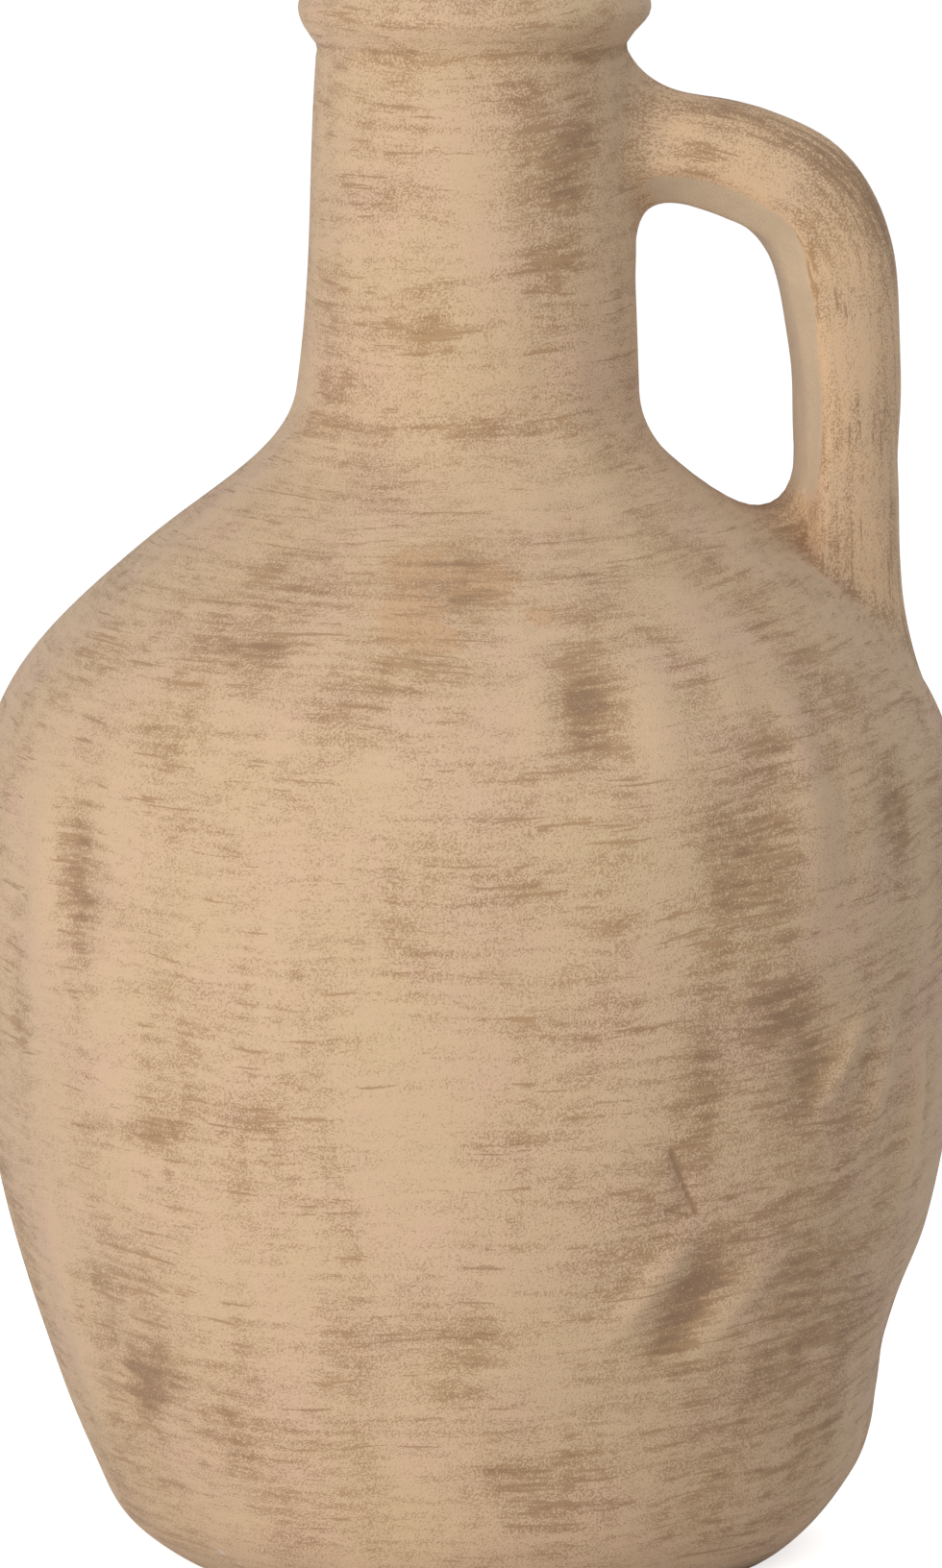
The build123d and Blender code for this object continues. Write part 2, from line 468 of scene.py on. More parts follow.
    def radius(self, azimuth: np.ndarray, height: np.ndarray) -> np.ndarray:
        """Radius of the hand-formed wall."""
        return self.plain_radius(height) + self.pressed(azimuth, height)

    def outer_run(self, low: float, high: float) -> np.ndarray:
        """Evenly spaced points of the outer face.

        Args:
            low: Height of the first point.
            high: Height of the last point.

        Returns:
            Radii and heights, from below.
        """
        start, end = self.reach_at(np.array([low, high]))
        at = np.linspace(start, end, max(2, round((end - start) / self.step) + 1))
        return np.column_stack([np.interp(at, self.reach, self.outer[:, i]) for i in (0, 1)])

    def inner_run(self, low: float, high: float) -> np.ndarray:
        """Points of the wall's inner face, one wall inside the outer face.

        Args:
            low: Height of the first point.
            high: Height of the last point.

        Returns:
            Radii and heights, from below.
        """
        body = self.outer[self.outer[:, 1] < self.neck_foot[1]]
        along = unit(np.gradient(body, axis=0))
        inner = body + np.column_stack([-along[:, 1], along[:, 0]]) * self.wall
        inner = inner[(inner[:, 1] > low) & (inner[:, 0] > self.mouth_radius)]
        at = np.linspace(low, high, max(2, round((high - low) / self.inner_step) + 1))
        radii = np.interp(at, inner[:, 1], inner[:, 0])
        return np.column_stack([np.maximum(radii, self.mouth_radius), at])


class Graph:
    """Adds and links the nodes of a material or of the world in short calls."""

    spot_detail: float = 3.0
    spot_roughness: float = 0.6
    spot_edge: Pair = (0.30, 0.70)

    def __init__(self, owner: Owner, shader: str = "Principled BSDF") -> None:
        """Finds the shader that the nodes end in.

        Args:
            owner: A new material or world.
            shader: Name of the shader that it starts with.
        """
        owner.use_nodes = True
        self.owner = owner
        self.tree = owner.node_tree
        self.shader = self.tree.nodes[shader]

    def add(self, kind: str, inputs: Feeds | None = None, **options: object) -> bpy.types.Node:
        """Adds a node.

        Args:
            kind: The kind of node.
            inputs: Outputs or constants, by the name or number of the input that they feed.
            options: The node's settings.

        Returns:
            The node.
        """
        node = self.tree.nodes.new(kind)
        for key, value in options.items():
            setattr(node, key, value)
        self.feed(node, inputs or {})
        return node

    def feed(self, node: bpy.types.Node, inputs: Feeds) -> None:
        """Links outputs to a node's inputs, or sets constants on them.

        Args:
            node: The node.
            inputs: Outputs or constants, by the name or number of the input that they feed.
        """
        for key, value in inputs.items():
            if isinstance(value, Socket):
                self.tree.links.new(value, node.inputs[key])
            else:
                node.inputs[key].default_value = value

    def number(self, name: str) -> Socket:
        """A number that each point of the mesh carries."""
        return self.add("ShaderNodeAttribute", attribute_name=name).outputs["Fac"]

    def place(self, name: str) -> Socket:
        """A vector that each point of the mesh carries."""
        return self.add("ShaderNodeAttribute", attribute_name=name).outputs["Vector"]

    def math(self, operation: str, first: object, second: object = 0.0) -> Socket:
        """One sum on numbers."""
        return self.add("ShaderNodeMath", {0: first, 1: second}, operation=operation).outputs[0]

    def vector(self, operation: str, first: object, second: object) -> Socket:
        """One sum on vectors."""
        node = self.add("ShaderNodeVectorMath", {0: first, 1: second}, operation=operation)
        return node.outputs["Value" if operation in ("DISTANCE", "DOT_PRODUCT") else "Vector"]

    def parts(self, vector: object) -> tuple[Socket, ...]:
        """The three numbers of a vector."""
        return tuple(self.add("ShaderNodeSeparateXYZ", {0: vector}).outputs)

    def joined(self, x: object, y: object, z: object) -> Socket:
        """A vector of three numbers."""
        return self.add("ShaderNodeCombineXYZ", {0: x, 1: y, 2: z}).outputs[0]

    def scaled(self, at: object, size: float) -> Socket:
        """A place counted in grains of a size in millimetres."""
        return self.vector("MULTIPLY", at, (1 / (size * MM),) * 3)

    def noise(self, place: object, detail: float, roughness: float) -> Socket:
        """Noise whose grain is one unit of the place that is given."""
        inputs = {"Vector": place, "Scale": 1.0, "Detail": detail, "Roughness": roughness}
        return self.add("ShaderNodeTexNoise", inputs).outputs["Fac"]

    def spots(self, at: object, size: float) -> Socket:
        """Round noise of a size in millimetres, from 0 to 1."""
        noise = self.noise(self.scaled(at, size), self.spot_detail, self.spot_roughness)
        return self.ramp(noise, *self.spot_edge)

    def ramp(self, value: object, low: float, high: float) -> Socket:
        """Soft step from 0 at low to 1 at high."""
        inputs = {"Value": value, "From Min": low, "From Max": high}
        return self.add("ShaderNodeMapRange", inputs, interpolation_type="SMOOTHSTEP").outputs["Result"]

    # A mix node's inputs 2 and 3 and output 0 are numbers, its inputs 6 and 7 and output 2 colours.
    def blend(self, share: object, first: object, second: object) -> Socket:
        """Colour between two, by a share."""
        return self.add("ShaderNodeMix", {0: share, 6: first, 7: second}, data_type="RGBA").outputs[2]

    def between(self, share: object, first: object, second: object) -> Socket:
        """Number between two, by a share."""
        return self.add("ShaderNodeMix", {0: share, 2: first, 3: second}, data_type="FLOAT").outputs[0]

    def bump(self, height: object, distance: float, strength: float) -> Socket:
        """Direction of a surface that is raised by a height, given in shares of a distance."""
        inputs = {"Height": height, "Distance": distance, "Strength": strength}
        return self.add("ShaderNodeBump", inputs).outputs["Normal"]


@dataclass(frozen=True)
class Stroke:
    """One layer of marks: its grain along and across the stroke in millimetres, and its weight."""

    length: float
    width: float
    detail: float
    roughness: float
    weight: float = 1.0

    def on_wall(self, graph: Graph, place: Socket) -> Socket:
        """Noise of the layer at x, y and a reach up the wall, in metres."""
        scales = (1 / (self.length * MM), 1 / (self.length * MM), 1 / (self.width * MM))
        return graph.noise(graph.vector("MULTIPLY", place, scales), self.detail, self.roughness)

    def on_bar(self, graph: Graph, place: Socket) -> Socket:
        """Noise of the layer at a length along the bar and its two widths, in metres."""
        scales = (1 / (self.length * MM), 1 / (self.width * MM), 1 / (self.width * MM))
        return graph.noise(graph.vector("MULTIPLY", place, scales), self.detail, self.roughness)


class Ground(Enum):
    """Which brush directions a piece's slip follows."""

    WALL = "brushed_wall"
    HANDLE = "brushed_handle"


class Brush:
    """Reads marks at the place that each point of a piece has along the brush's strokes."""

    def __init__(self, graph: Graph, ground: Ground, wander: Stroke, tilt: float, bowl: float) -> None:
        """Works out the places along the wall, and along the bar where the piece follows one.

        Args:
            graph: The material's nodes.
            ground: Which brush directions the piece follows.
            wander: How far the strokes drift off their line, and over what lengths.
            tilt: Rise of a stroke over its run.
            bowl: How much steeper it rises for each metre towards the handle.
        """
        self.graph = graph
        self.at = graph.add("ShaderNodeTexCoord").outputs["Object"]
        self.on_handle = ground is Ground.HANDLE
        drift = graph.math("SUBTRACT", wander.on_wall(graph, self.at), NOISE_MIDDLE)
        drift = graph.math("MULTIPLY", drift, wander.weight * MM)
        x, y, _ = graph.parts(self.at)
        steep = graph.math("ADD", graph.math("MULTIPLY", x, bowl / 2), tilt)
        reach = graph.math("SUBTRACT", graph.number("reach"), graph.math("MULTIPLY", x, steep))
        self.wall = graph.joined(x, y, graph.math("ADD", reach, drift))
        if self.on_handle:
            along, side, rise = graph.parts(graph.place("bar_place"))
            side = graph.math("SUBTRACT", side, graph.math("MULTIPLY", along, tilt))
            self.bar = graph.joined(along, graph.math("ADD", side, drift), rise)
            self.share = graph.number("bar_share")

    def marks(self, stroke: Stroke) -> Socket:
        """Reads one layer of marks.

        Args:
            stroke: The layer.

        Returns:
            The marks, centred on zero and times the layer's weight.
        """
        graph = self.graph
        marks = stroke.on_wall(graph, self.wall)
        if self.on_handle:
            marks = graph.between(self.share, marks, stroke.on_bar(graph, self.bar))
        return graph.math("MULTIPLY", graph.math("SUBTRACT", marks, NOISE_MIDDLE), stroke.weight)


@dataclass(frozen=True)
class Chip:
    """A spot where the slip has chipped or peeled off."""

    azimuth: float
    radius: float
    height: float
    size: float

    def place(self) -> Vector:
        """Middle of the chip, in metres."""
        return wall_place(self.azimuth, self.radius, self.height)


@dataclass(frozen=True)
class Gouge:
    """A thin line scratched through the slip, between two azimuths, radii and heights."""

    start: Triple
    end: Triple
    width: float

    def ends(self) -> tuple[Vector, Vector]:
        """Both ends, in metres."""
        return wall_place(*self.start), wall_place(*self.end)


@dataclass(frozen=True)
class SlipFinish:
    """Pale slip brushed dry over a brown coat, with bare clay inside and underneath.

    Wear is how far the slip is rubbed off. A rubbed place turns browner and grainier, and long thin
    strokes of the coat cross it.
    """

    pale: Colour = (0.682, 0.474, 0.296, 1.0)
    pale_pink: Colour = (0.696, 0.464, 0.310, 1.0)
    pale_straw: Colour = (0.668, 0.482, 0.278, 1.0)
    golden: Colour = (0.775, 0.516, 0.304, 1.0)
    golden_dull: Colour = (0.740, 0.504, 0.310, 1.0)
    coat: Colour = (0.456, 0.272, 0.134, 1.0)
    coat_dull: Colour = (0.402, 0.236, 0.124, 1.0)
    coat_dark: Colour = (0.332, 0.197, 0.110, 1.0)
    scratch: Colour = (0.375, 0.226, 0.126, 1.0)
    plain: Colour = (0.690, 0.525, 0.350, 1.0)
    plain_dull: Colour = (0.640, 0.480, 0.320, 1.0)
    clay: Colour = (0.34, 0.215, 0.135, 1.0)
    clay_dark: Colour = (0.26, 0.165, 0.105, 1.0)
    chipped: Colour = (0.70, 0.56, 0.45, 1.0)
    peeled: Colour = (0.645, 0.402, 0.226, 1.0)
    chip_share: float = 1.0
    peel_share: float = 0.80
    flake_grains: float = 1.6
    flake_detail: float = 5.0
    flake_roughness: float = 0.72
    flake_ragged: float = 1.9
    flake_edge: float = 0.10
    roughness: float = 0.88
    specular: float = 0.35
    sheen: float = 0.16
    relief: float = 0.0002
    relief_strength: float = 0.6
    grain: Stroke = Stroke(0.52, 0.42, 1.0, 0.5, 1.8)
    streaks: Stroke = Stroke(22.0, 1.35, 2.0, 0.6, 1.0)
    mottle: Stroke = Stroke(5.5, 2.2, 2.0, 0.6, 0.50)
    bands: Stroke = Stroke(28.0, 2.6, 3.0, 0.65, 0.75)
    hollows: Stroke = Stroke(21.0, 60.0, 2.0, 0.5, 0.70)
    wander: Stroke = Stroke(55.0, 55.0, 1.0, 0.5, 9.0)
    clay_rings: Stroke = Stroke(40.0, 2.2, 3.0, 0.6)
    clay_edge: Pair = (0.35, 0.65)
    bare_edge: Pair = (0.4, 0.6)
    band_edge: Pair = (0.3, 0.6)
    tilt: float = 0.05
    bowl: float = 1.2
    usual_wear: float = -0.135
    cover_weight: float = 0.75
    cover_strokes: float = 0.9
    most_wear: float = 0.24
    speck_edge: float = 0.065
    speck_least: float = 0.46
    speck_most: float = 1.0
    worn: Pair = (-0.35, 0.30)
    wash: Pair = (-0.02, 0.45)
    wash_most: float = 0.40
    deep: Pair = (0.0, 0.40)
    streak_wear: float = 0.48
    streak_most: float = 0.10
    streak_start: float = 0.082
    streak_edge: float = 0.06
    streak_ragged: float = 0.10
    streak_share: float = 0.85
    broad_tint: float = 26.0
    small_tint: float = 13.0
    gouge_grain: float = 1.5
    gouge_ragged: float = 0.6
    gouge_core: float = 0.5
    gouges: tuple[Gouge, ...] = (
        Gouge((-75.8, 121.5, 120.7), (-71.9, 118.9, 104.0), 1.25),
        Gouge((-75.8, 119.3, 105.1), (-72.9, 118.9, 103.6), 1.00),
    )
    chips: tuple[Chip, ...] = (
        Chip(-144.0, 89.0, 10.0, 2.0),
        Chip(-141.5, 87.0, 7.0, 1.6),
        Chip(-139.0, 84.0, 4.0, 2.2),
        Chip(-50.0, 83.0, 5.0, 2.4),
        Chip(-62.0, 42.0, 397.0, 2.4),
        Chip(-72.0, 42.0, 397.5, 2.0),
        Chip(40.0, 85.0, 5.0, 2.4),
    )
    peels: tuple[Chip, ...] = (
        Chip(-109.5, 76.0, 260.0, 15.0),
        Chip(-109.0, 88.0, 250.0, 16.0),
        Chip(-98.6, 79.5, 257.0, 15.0),
        Chip(-95.0, 78.4, 258.0, 10.0),
        Chip(-104.7, 95.0, 244.0, 11.0),
        Chip(-88.0, 87.8, 250.0, 7.0),
    )

    def material(self, ground: Ground) -> bpy.types.Material:
        """Builds the finish for pieces of one ground.

        Args:
            ground: Which brush directions the slip follows.

        Returns:
            The material.
        """
        graph = Graph(bpy.data.materials.new(ground.value))
        brush = Brush(graph, ground, self.wander, self.tilt, self.bowl)
        grain = brush.marks(self.grain)
        wear = self.wear(brush)
        gouge = self.gouged(brush)
        tone = graph.math("MAXIMUM", self.toned(brush, wear, grain), gouge)
        colour = graph.blend(gouge, self.coloured(brush, tone, wear), self.scratch)
        if brush.on_handle:
            plain = graph.blend(graph.spots(brush.at, self.small_tint), self.plain, self.plain_dull)
            colour = graph.blend(graph.ramp(graph.number("band"), *self.band_edge), colour, plain)
        colour = self.bared(brush, colour, grain)
        colour = self.flaked(brush, colour, self.chips, self.chipped, self.chip_share)
        raised = graph.math("SUBTRACT", grain, tone)
        inputs = {
            "Base Color": colour,
            "Roughness": self.roughness,
            "Specular IOR Level": self.specular,
            "Sheen Weight": self.sheen,
            "Normal": graph.bump(raised, self.relief, self.relief_strength),
        }
        graph.feed(graph.shader, inputs)
        return graph.owner

    def wear(self, brush: Brush) -> Socket:
        """How far the slip is rubbed off, with bolder strokes where a press bares or covers the coat.

        Args:
            brush: The piece's strokes.

        Returns:
            The wear, which is about zero where half the slip is gone.
        """
        graph = brush.graph
        cover = graph.number("cover")
        bold = graph.math("MULTIPLY", graph.math("ABSOLUTE", cover), self.cover_strokes)
        bands = graph.math("MULTIPLY", brush.marks(self.bands), graph.math("ADD", bold, 1.0))
        wear = graph.math("ADD", brush.marks(self.mottle), self.usual_wear)
        wear = graph.math("ADD", wear, bands)
        wear = graph.math("ADD", wear, brush.marks(self.hollows))
        return graph.math("SUBTRACT", wear, graph.math("MULTIPLY", cover, self.cover_weight))

    def toned(self, brush: Brush, wear: Socket, grain: Socket) -> Socket:
        """The coat that shows through the slip as specks, as a thin wash and as long strokes.

        Args:
            brush: The piece's strokes.
            wear: How far the slip is rubbed off.
            grain: The finest grain.

        Returns:
            How much of the coat shows.
        """
        graph = brush.graph
        specks = graph.math("SUBTRACT", graph.math("MINIMUM", wear, self.most_wear), grain)
        specks = graph.ramp(specks, -self.speck_edge, self.speck_edge)
        worn = graph.ramp(wear, *self.worn)
        tone = graph.math("MULTIPLY", specks, graph.between(worn, self.speck_least, self.speck_most))
        wash = graph.math("MULTIPLY", graph.ramp(wear, *self.wash), self.wash_most)
        tone = graph.math("MAXIMUM", tone, wash)
        return graph.math("MAXIMUM", tone, self.streaked(brush, wear, grain))

    def streaked(self, brush: Brush, wear: Socket, grain: Socket) -> Socket:
        """Long thin strokes of the coat.

        Args:
            brush: The piece's strokes.
            wear: How far the slip is rubbed off.
            grain: The finest grain, which makes the strokes' edges ragged.

        Returns:
            How much of the coat the strokes show.
        """
        graph = brush.graph
        worn = graph.math("MULTIPLY", graph.math("MINIMUM", wear, self.streak_most), self.streak_wear)
        streak = graph.math("ADD", brush.marks(self.streaks), worn)
        streak = graph.math("SUBTRACT", streak, graph.math("MULTIPLY", grain, self.streak_ragged))
        streak = graph.ramp(streak, self.streak_start, self.streak_start + self.streak_edge)
        return graph.math("MULTIPLY", streak, self.streak_share)

    def gouged(self, brush: Brush) -> Socket:
        """Thin scratched lines.

        Args:
            brush: The piece's strokes.

        Returns:
            How much of the coat the lines show.
        """
        graph = brush.graph
        shown = 0.0
        ragged = graph.math("MULTIPLY", graph.spots(brush.at, self.gouge_grain), self.gouge_ragged * MM)
        for gouge in self.gouges:
            start, end = gouge.ends()
            run = end - start
            width = gouge.width * MM
            from_start = graph.vector("SUBTRACT", brush.at, start)
            along = graph.vector("DOT_PRODUCT", from_start, run / run.length_squared)
            along = graph.math("MINIMUM", graph.math("MAXIMUM", along, 0.0), 1.0)
            nearest = graph.vector("MULTIPLY", graph.joined(along, along, along), run)
            away = graph.math("ADD", graph.vector("DISTANCE", from_start, nearest), ragged)
            shown = graph.math("MAXIMUM", shown, graph.ramp(away, width, width * self.gouge_core))
        return shown

    def coloured(self, brush: Brush, tone: Socket, wear: Socket) -> Socket:
        """Colour of the slip and of the coat that shows through it.

        Args:
            brush: The piece's strokes, which also tell whether it has the handle's golden slip.
            tone: How much of the coat shows.
            wear: How far the slip is rubbed off, which darkens the coat.

        Returns:
            The colour.
        """
        graph = brush.graph
        broad = graph.spots(brush.at, self.broad_tint)
        small = graph.spots(brush.at, self.small_tint)
        pale = graph.blend(small, self.pale, graph.blend(broad, self.pale_straw, self.pale_pink))
        if brush.on_handle:
            pale = graph.blend(brush.share, pale, graph.blend(small, self.golden, self.golden_dull))
        pale = self.flaked(brush, pale, self.peels, self.peeled, self.peel_share)
        coat = graph.blend(broad, self.coat, self.coat_dull)
        coat = graph.blend(graph.ramp(wear, *self.deep), coat, self.coat_dark)
        return graph.blend(tone, pale, coat)

    def bared(self, brush: Brush, colour: Socket, grain: Socket) -> Socket:
        """Bare clay where the brush didn't reach.

        Args:
            brush: The piece's strokes.
            colour: The brushed colour.
            grain: The finest grain.

        Returns:
            The colour with the bare clay.
        """
        graph = brush.graph
        rings = graph.ramp(self.clay_rings.on_wall(graph, brush.at), *self.clay_edge)
        clay = graph.blend(rings, self.clay_dark, self.clay)
        ragged = graph.math("ADD", graph.number("bare"), grain)
        return graph.blend(graph.ramp(ragged, *self.bare_edge), colour, clay)

    def flaked(
        self, brush: Brush, colour: Socket, flakes: tuple[Chip, ...], under: Colour, most: float
    ) -> Socket:
        """Ragged spots where the slip has come off.

        Args:
            brush: The piece's strokes.
            colour: The colour round the spots.
            flakes: The spots.
            under: The colour that they bare.
            most: How much of that colour shows.

        Returns:
            The colour with the spots.
        """
        graph = brush.graph
        reach = (1.0 + self.flake_ragged) / 2
        for flake in flakes:
            size = flake.size * MM
            grains = graph.scaled(brush.at, flake.size / self.flake_grains)
            ragged = graph.noise(grains, self.flake_detail, self.flake_roughness)
            away = graph.vector("DISTANCE", brush.at, flake.place())
            away = graph.math("ADD", away, graph.math("MULTIPLY", ragged, self.flake_ragged * size))
            share = graph.ramp(away, (reach + self.flake_edge) * size, (reach - self.flake_edge) * size)
            colour = graph.blend(graph.math("MULTIPLY", share, most), colour, under)
        return colour


@dataclass(frozen=True)
class BareFinish:
    """Bare fired clay of the coils inside."""

    clay: Colour = (0.34, 0.215, 0.135, 1.0)
    clay_dark: Colour = (0.24, 0.15, 0.095, 1.0)
    roughness: float = 0.92
    smears: Stroke = Stroke(22.0, 22.0, 4.0, 0.65)
    grains: Stroke = Stroke(1.6, 1.6, 2.0, 0.6, 0.4)
    clay_edge: Pair = (0.5, 0.9)
    relief: float = 0.0006
    relief_strength: float = 0.6

    def material(self) -> bpy.types.Material:
        """Builds the finish.

        Returns:
            The material.
        """
        graph = Graph(bpy.data.materials.new("bare_coil"))
        at = graph.add("ShaderNodeTexCoord").outputs["Object"]
        grains = graph.math("MULTIPLY", self.grains.on_wall(graph, at), self.grains.weight)
        mixed = graph.math("ADD", self.smears.on_wall(graph, at), grains)
        inputs = {
            "Base Color": graph.blend(graph.ramp(mixed, *self.clay_edge), self.clay_dark, self.clay),
            "Roughness": self.roughness,
            "Normal": graph.bump(mixed, self.relief, self.relief_strength),
        }
        graph.feed(graph.shader, inputs)
        return graph.owner


def link(name: str, data: bpy.types.ID) -> bpy.types.Object:
    """Makes an object and links it to the scene.

    Args:
        name: Name of the object.
        data: Its mesh, lamp or camera.

    Returns:
        The object.
    """
    made = bpy.data.objects.new(name, data)
    bpy.context.scene.collection.objects.link(made)
    return made


def add_object(name: str, bm: bmesh.types.BMesh) -> bpy.types.Object:
    """Makes an object of a mesh in millimetres, with smooth faces and sharp edges marked.

    Args:
        name: Name of the object.
        bm: The mesh, which is freed.

    Returns:
        The object, linked to the scene.
    """
    bmesh.ops.recalc_face_normals(bm, faces=bm.faces)
    bmesh.ops.scale(bm, vec=(MM, MM, MM), verts=bm.verts)
    for face in bm.faces:
        face.smooth = True
    for edge in bm.edges:
        edge.smooth = edge.calc_face_angle(0.0) < SHARP_EDGE
    mesh = bpy.data.meshes.new(name)
    bm.to_mesh(mesh)
    bm.free()
    return link(name, mesh)


def points_of(mesh: bpy.types.Mesh) -> np.ndarray:
    """Reads the points of a mesh.

    Args:
        mesh: The mesh.

    Returns:
        The points in millimetres, one a row.
    """
    flat = np.empty(len(mesh.vertices) * 3)
    mesh.vertices.foreach_get("co", flat)
    return flat.reshape(-1, 3) / MM


def numbers_of(mesh: bpy.types.Mesh, name: str) -> np.ndarray:
    """Reads a number that each point of a mesh carries.

    Args:
        mesh: The mesh.
        name: Name of the number.

    Returns:
        One value for each point.
    """
    values = np.empty(len(mesh.vertices))
    mesh.attributes[name].data.foreach_get("value", values)
    return values


def set_numbers(mesh: bpy.types.Mesh, name: str, values: np.ndarray) -> None:
    """Gives each point of a mesh a number."""
    layer = mesh.attributes.get(name) or mesh.attributes.new(name, "FLOAT", "POINT")
    layer.data.foreach_set("value", np.ascontiguousarray(values, np.float32))


def dress(made: bpy.types.Object, finish: bpy.types.Material, *nodes: str) -> None:
    """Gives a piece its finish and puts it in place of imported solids.

    Args:
        made: The piece.
        finish: Its material.
        nodes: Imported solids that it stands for.
    """
    made.data.materials.append(finish)
    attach(made, BODY)
    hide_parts(*nodes)
    log.info("%s: %d faces", made.name, len(made.data.polygons))


@dataclass(frozen=True)
class Run:
    """A stretch of a ring's section.

    Its points are radii and heights. It follows the wall's pressing by a share, and its clay is more
    or less bare.
    """

    points: np.ndarray
    share: float
    bare: float

    @classmethod
    def outside(cls, points: np.ndarray) -> "Run":
        """A stretch of the pressed and brushed outer face."""
        return cls(points, 1.0, 0.0)

    @classmethod
    def inside(cls, points: np.ndarray) -> "Run":
        """A stretch of the even, bare inside."""
        return cls(points, 0.0, 1.0)


@dataclass
class TurnedWall:
    """Rings of clay that are turned from a section and pressed by hand."""

    form: WallForm

    def ring(self, name: str, section: list[Run], closed: bool = True) -> bpy.types.Object:
        """Turns a section round the jug's axis and presses its outer face.

        Args:
            name: Name of the piece.
            section: The section's stretches in order.
            closed: Whether the section's last point joins its first.

        Returns:
            The piece.
        """
        bm = bmesh.new()
        layers = {key: bm.verts.layers.float.new(key) for key in ("share", "bare", "reach")}
        chain = []
        for run in section:
            for radius, height in run.points:
                vertex = bm.verts.new((radius, 0.0, height))
                vertex[layers["share"]] = run.share
                vertex[layers["bare"]] = run.bare
                chain.append(vertex)
        self.note_reach(chain, layers)
        ends = chain[1:] + chain[:1] if closed else chain[1:]
        for first, second in zip(chain, ends):
            bm.edges.new((first, second))
        self.turn(bm)
        made = add_object(name, bm)
        self.press(made.data)
        return made

    @staticmethod
    def turn(bm: bmesh.types.BMesh) -> None:
        """Spins a section by an eighth of a turn, and copies that round until the ring closes.

        Args:
            bm: The mesh that holds the section.
        """
        bmesh.ops.spin(
            bm,
            geom=bm.verts[:] + bm.edges[:],
            cent=(0, 0, 0),
            axis=(0, 0, 1),
            dvec=(0, 0, 0),
            angle=EIGHTH,
            steps=TURN_STEPS // 8,
            use_merge=False,
            use_duplicate=False,
        )
        for turn in (EIGHTH, 2 * EIGHTH, 4 * EIGHTH):
            copied = bmesh.ops.duplicate(bm, geom=bm.verts[:] + bm.edges[:] + bm.faces[:])["geom"]
            points = [item for item in copied if isinstance(item, bmesh.types.BMVert)]
            bmesh.ops.rotate(bm, cent=(0, 0, 0), matrix=Matrix.Rotation(turn, 3, "Z"), verts=points)
        bmesh.ops.remove_doubles(bm, verts=bm.verts, dist=SAME_POINT)

    def note_reach(
        self, chain: list[bmesh.types.BMVert], layers: dict[str, bmesh.types.BMLayerItem]
    ) -> None:
        """Notes the length along the section, in metres, so that it agrees with the wall's own reach.

        Args:
            chain: The section's points in order.
            layers: The points' layers by name.
        """
        first = next(i for i, vertex in enumerate(chain) if vertex[layers["share"]] == 1.0)
        steps = [(second.co - vertex.co).length for vertex, second in zip(chain, chain[1:])]
        start = float(self.form.reach_at(chain[first].co.z)) - sum(steps[:first])
        for i, vertex in enumerate(chain):
            vertex[layers["reach"]] = (start + sum(steps[:i])) * MM

    def press(self, mesh: bpy.types.Mesh) -> None:
        """Moves the outer face to the hand-formed wall and notes how much slip stays on it.

        Args:
            mesh: A turned ring.
        """
        points = points_of(mesh)
        share = numbers_of(mesh, "share")
        turn = turn_of(points)
        azimuth = np.degrees(turn)
        height = points[:, 2].copy()
        out = share * self.form.pressed(azimuth, height)
        points[:, 0] += out * np.cos(turn)
        points[:, 1] += out * np.sin(turn)
        mesh.vertices.foreach_set("co", (points * MM).ravel())
        set_numbers(mesh, "cover", share * self.form.cover(azimuth, height))
        mesh.attributes.remove(mesh.attributes["share"])
        mesh.update()


@dataclass
class Body(TurnedWall):
    """Base disc, lower wall and shoulder wall."""

    foot_rows: int = 12

    def build(self, finish: bpy.types.Material) -> None:
        """Builds and dresses the pieces from below.

        Args:
            finish: The brushed slip.
        """
        form = self.form
        girth, neck_foot = form.girth[1], form.neck_foot[1]
        lower = ((form.base_seam, girth), (form.floor, girth + form.bevel))
        shoulder = ((girth, neck_foot), (girth + form.bevel, neck_foot - form.bevel))
        dress(self.base_disc(), finish, "base_disc")
        dress(self.wall("jug_lower_wall", *lower), finish, "lower_wall")
        dress(self.wall("jug_shoulder_wall", *shoulder), finish, "shoulder_wall")

    def level_run(self, start: float, end: float, height: float) -> np.ndarray:
        """Points of a level face between two radii."""
        radii = np.linspace(start, end, self.foot_rows)
        return np.column_stack([radii, np.full(self.foot_rows, height)])

    def base_disc(self) -> bpy.types.Object:
        """Turns the slab that the wall stands on.

        Returns:
            The piece.
        """
        form = self.form
        under = self.level_run(0.0, form.foot_radius, 0.0)
        edge = form.outer_run(0.0, form.base_seam)
        inside = form.inner_run(form.floor, form.girth[1])[0, 0]
        floor = self.level_run(inside, 0.0, form.floor)
        section = [Run.inside(under[:-1]), Run.outside(edge), Run.inside(floor)]
        return self.ring("jug_base_disc", section, closed=False)

    def wall(self, name: str, outer: Pair, inner: Pair) -> bpy.types.Object:
        """Turns a ring of the wall.

        Args:
            name: Name of the piece.
            outer: Heights of its outer face's two ends.
            inner: Heights of its inner face's two ends.

        Returns:
            The piece.
        """
        outside = self.form.outer_run(*outer)
        inside = self.form.inner_run(*inner)[::-1]
        return self.ring(name, [Run.outside(outside), Run.inside(inside)])


